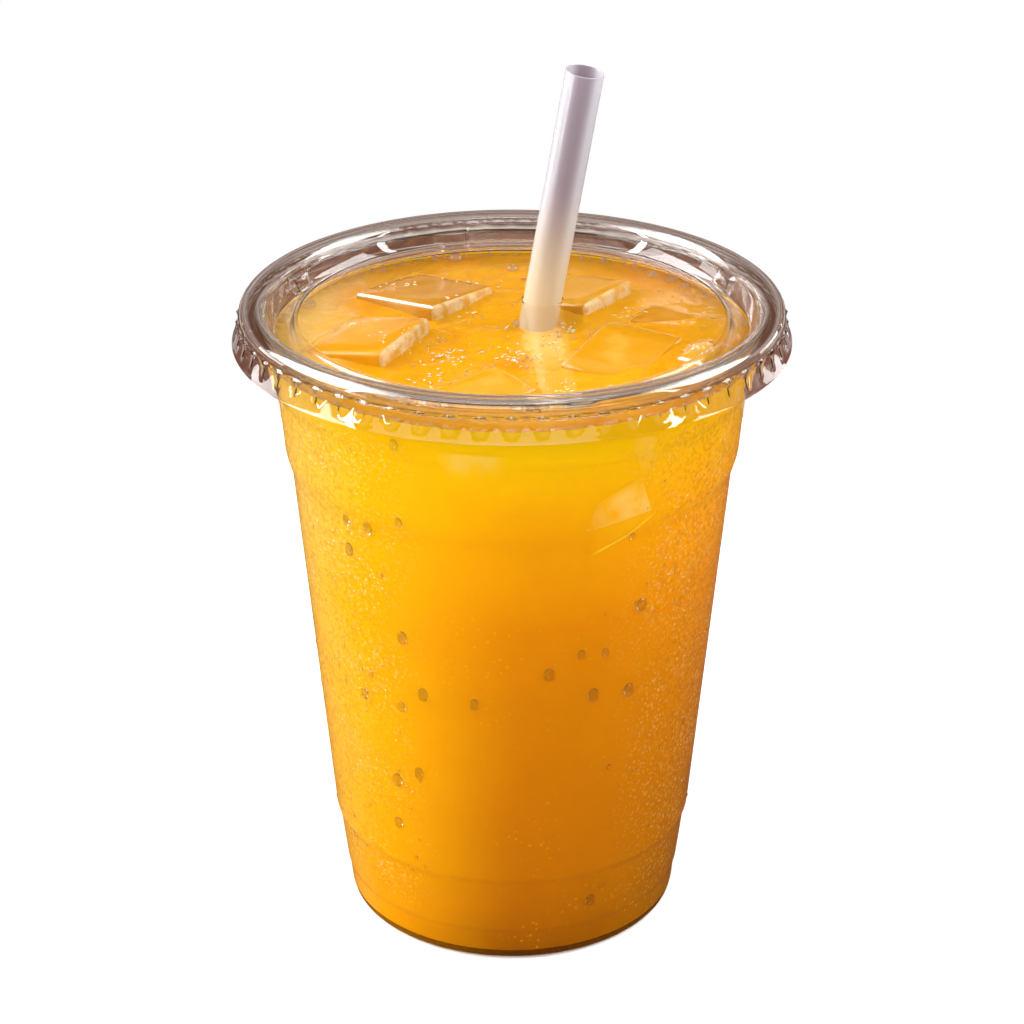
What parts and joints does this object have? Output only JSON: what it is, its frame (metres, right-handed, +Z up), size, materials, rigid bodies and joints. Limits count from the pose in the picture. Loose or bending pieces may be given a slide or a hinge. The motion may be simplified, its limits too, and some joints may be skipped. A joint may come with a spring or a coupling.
{
  "type": "plastic cup of orange juice with lid and straw",
  "caption": "Clear plastic takeaway cup of orange juice with ice, a flat clear lid and a leaning straw.",
  "frame": {"origin": "on the table, at the middle of the cup's base", "axes": "+Z up along the cup's axis, -Y towards the viewer, +X to the right, the way the straw leans"},
  "size_m": [0.103, 0.103, 0.1647],
  "materials": {
    "cup_plastic": "clear, glossy, thin",
    "lid_plastic": "clear, glossy, thin",
    "straw_plastic": "translucent, milky, smooth",
    "juice": "cloudy orange juice, wet",
    "ice": "clear ice with frosted faces"
  },
  "bodies": {
    "root": {"cup": "cup_plastic", "lid": "lid_plastic", "straw": "straw_plastic", "juice": "juice", "ice_left": "ice", "ice_back_left": "ice", "ice_back_right": "ice", "ice_front_right": "ice", "ice_right": "ice", "ice_right_edge": "ice", "ice_front": "ice"}
  },
  "joints": []
}
